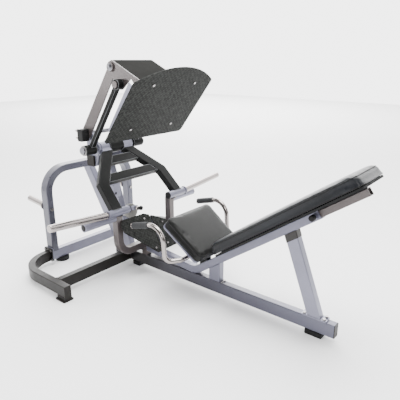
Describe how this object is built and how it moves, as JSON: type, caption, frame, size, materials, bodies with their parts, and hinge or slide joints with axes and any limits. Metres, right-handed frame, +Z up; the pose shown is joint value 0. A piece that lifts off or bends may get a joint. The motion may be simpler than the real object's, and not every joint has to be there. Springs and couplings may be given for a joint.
{
  "type": "leg press machine",
  "caption": "Plate-loaded leg press: foot plate on a parallelogram linkage, hinged weight lever, fixed seat and sliding back pad on a steel tube frame.",
  "frame": {"origin": "on the floor, under the middle of the machine", "axes": "+X towards the head end of the back pad, -X towards the foot plate end, +Y across to the far side, +Z up"},
  "size_m": [2.3966, 1.578, 1.459],
  "materials": {
    "silver_paint": "satin silver powder coat",
    "charcoal_paint": "satin charcoal powder coat",
    "dark_frame_paint": "satin dark grey powder coat",
    "chrome": "polished chrome",
    "steel": "machined steel",
    "rubber": "moulded black rubber",
    "plastic": "moulded end caps",
    "tread": "textured non-slip coating",
    "vinyl": "black upholstery vinyl over foam",
    "board": "black-covered plywood"
  },
  "bodies": {
    "frame": {"main_rail": "dark_frame_paint", "tube_end_caps": "plastic", "front_cross_tubes": "dark_frame_paint", "side_loop_near": "dark_frame_paint", "side_loop_far": "dark_frame_paint", "rear_cross_tube": "silver_paint", "rear_hoop": "silver_paint", "storage_horn_near": "chrome", "storage_horn_far": "chrome", "mast_post": "silver_paint", "mast_brace": "silver_paint", "mast_head": "silver_paint", "pivot_plate_near": "silver_paint", "pivot_plate_far": "silver_paint", "main_axle": "steel", "link_axle": "steel", "mast_bumper": "rubber", "cradle": "silver_paint", "rest_bumpers": "rubber", "storage_pegs": "silver_paint", "step_plates": "tread", "step_spine": "silver_paint", "seat_rail": "silver_paint", "short_post": "silver_paint", "back_post": "silver_paint", "post_bracket": "charcoal_paint", "seat_pad": "vinyl", "seat_board": "board", "seat_post": "silver_paint", "handle_bars": "chrome", "hand_grips": "rubber", "rubber_feet": "rubber", "frame_bolts": "steel"},
    "backrest": {"back_slide_tube": "silver_paint", "back_board": "board", "back_pad": "vinyl"},
    "pull_pin": {"back_pull_pin": "rubber"},
    "weight_lever": {"lever_arm_near": "charcoal_paint", "lever_arm_far": "charcoal_paint", "lever_cross_upper": "charcoal_paint", "lever_cross_lower": "charcoal_paint", "pivot_housings": "silver_paint", "lever_hub": "charcoal_paint", "lever_rod_near": "charcoal_paint", "lever_rod_far": "charcoal_paint", "rod_hubs": "steel", "horn_sockets": "silver_paint", "weight_horn_near": "chrome", "weight_horn_far": "chrome"},
    "rear_links": {"link_strap_near": "silver_paint", "link_strap_far": "silver_paint", "link_blocks": "charcoal_paint", "link_bolts": "chrome"},
    "foot_carriage": {"carriage_plate_near": "silver_paint", "carriage_plate_far": "silver_paint", "carriage_cover": "charcoal_paint", "foot_plate": "tread", "foot_plate_frame": "silver_paint", "foot_plate_bolts": "steel", "carriage_pins": "chrome"}
  },
  "joints": [
    {"name": "lever_hinge", "type": "hinge", "parent": "frame", "child": "weight_lever", "pos_m": [-0.64, 0, 0.872], "axis": [0, -1, 0], "range_deg": [0, 30]},
    {"name": "carriage_hinge", "type": "hinge", "parent": "weight_lever", "child": "foot_carriage", "pos_m": [-0.325, 0, 1.315], "axis": [0, -1, 0], "range_deg": [-30, 0]},
    {"name": "link_hinge", "type": "hinge", "parent": "frame", "child": "rear_links", "pos_m": [-0.723, 0, 0.973], "axis": [0, -1, 0], "range_deg": [0, 30]},
    {"name": "back_slide", "type": "slide", "parent": "frame", "child": "backrest", "axis": [0.8181, 0, 0.575], "range_m": [0, 0.12]},
    {"name": "pin_pull", "type": "slide", "parent": "frame", "child": "pull_pin", "axis": [0, -1, 0], "range_m": [0, 0.012], "stiffness_N_per_m": 600}
  ],
  "couplings": [
    {"joint": "carriage_hinge", "follows": "lever_hinge", "ratio": -1},
    {"joint": "link_hinge", "follows": "lever_hinge", "ratio": 1}
  ]
}
